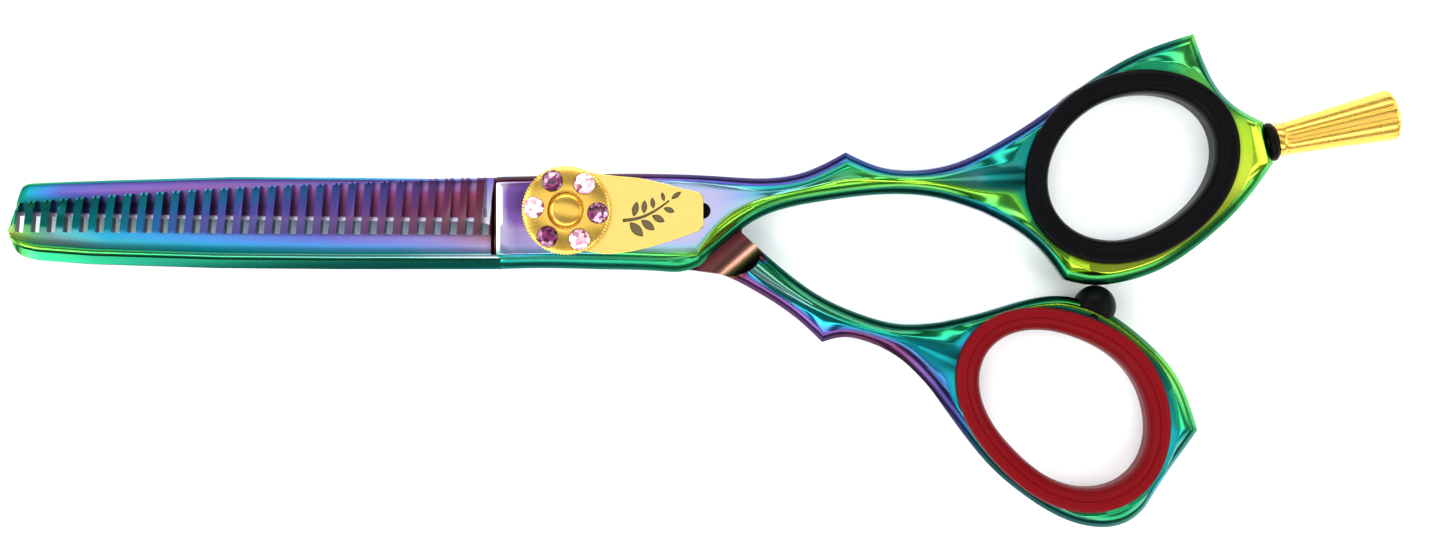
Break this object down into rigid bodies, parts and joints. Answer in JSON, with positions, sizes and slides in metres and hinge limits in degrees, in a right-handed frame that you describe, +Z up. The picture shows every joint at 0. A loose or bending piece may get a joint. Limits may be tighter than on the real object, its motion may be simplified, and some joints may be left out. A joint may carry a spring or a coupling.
{
  "type": "thinning shears",
  "caption": "Hairdresser's thinning shears: a toothed blade and a plain blade on a tension-dial pivot, with finger and thumb rings, ring inserts, bumper and finger rest.",
  "frame": {"origin": "on the pivot axis, at the plane that the rear pivot head and both ring inserts rest on", "axes": "+X from the blades to the handles, +Y towards the finger ring, +Z up from the resting plane towards the tension dial"},
  "size_m": [0.1689, 0.0599, 0.0093],
  "materials": {
    "comb_half": "rainbow titanium film over satin and mirror-polished steel",
    "straight_half": "rainbow titanium film over polished steel",
    "finger_insert": "soft black vinyl",
    "thumb_insert": "soft red vinyl",
    "pivot_screw": "gold-coloured plating",
    "pivot_bush": "bronze",
    "rear_washer": "slippery white polymer",
    "thrust_washer": "slippery white polymer",
    "leaf_plate": "gold plating, engraved",
    "leaf_pin": "plain steel",
    "dial_spring": "plain spring steel",
    "tension_dial": "gold plating, knurled rim",
    "dial_cap": "gold plating",
    "finger_rest": "gold plating, fluted",
    "finger_rest_stud": "plain steel",
    "finger_rest_ring": "black rubber",
    "bumper": "black rubber",
    "crystal_1": "faceted, foil-backed amethyst",
    "crystal_2": "faceted, foil-backed light rose",
    "crystal_3": "faceted, foil-backed amethyst",
    "crystal_4": "faceted, foil-backed light rose",
    "crystal_5": "faceted, foil-backed amethyst",
    "crystal_6": "faceted, foil-backed light rose"
  },
  "bodies": {
    "finger_side": {"comb_half": "comb_half", "finger_insert": "finger_insert", "pivot_screw": "pivot_screw", "leaf_plate": "leaf_plate", "leaf_pin": "leaf_pin", "dial_spring": "dial_spring", "dial_cap": "dial_cap"},
    "thumb_side": {"straight_half": "straight_half", "thumb_insert": "thumb_insert", "pivot_bush": "pivot_bush", "rear_washer": "rear_washer", "thrust_washer": "thrust_washer", "bumper": "bumper"},
    "dial": {"tension_dial": "tension_dial", "crystal_1": "crystal_1", "crystal_2": "crystal_2", "crystal_3": "crystal_3", "crystal_4": "crystal_4", "crystal_5": "crystal_5", "crystal_6": "crystal_6"},
    "rest_carrier": {"finger_rest_ring": "finger_rest_ring"},
    "rest_horn": {"finger_rest": "finger_rest", "finger_rest_stud": "finger_rest_stud"}
  },
  "joints": [
    {"name": "shears_pivot", "type": "hinge", "parent": "finger_side", "child": "thumb_side", "pos_m": [0, 0, 0], "axis": [0, 0, -1], "range_deg": [0, 95]},
    {"name": "tension_turn", "type": "hinge", "parent": "finger_side", "child": "dial", "pos_m": [0, 0, 0], "axis": [0, 0, 1], "range_deg": [-60, 90]},
    {"name": "rest_unscrew_travel", "type": "slide", "parent": "finger_side", "child": "rest_carrier", "axis": [0.9753, 0.2207, 0], "range_m": [0, 0.0021]},
    {"name": "rest_unscrew_turn", "type": "hinge", "parent": "rest_carrier", "child": "rest_horn", "pos_m": [0.08488, 0.00832, 0.0032], "axis": [0.9753, 0.2207, 0], "range_deg": [0, 1081]}
  ],
  "couplings": [
    {"joint": "rest_unscrew_turn", "follows": "rest_unscrew_travel", "rad_per_m": 8976}
  ]
}
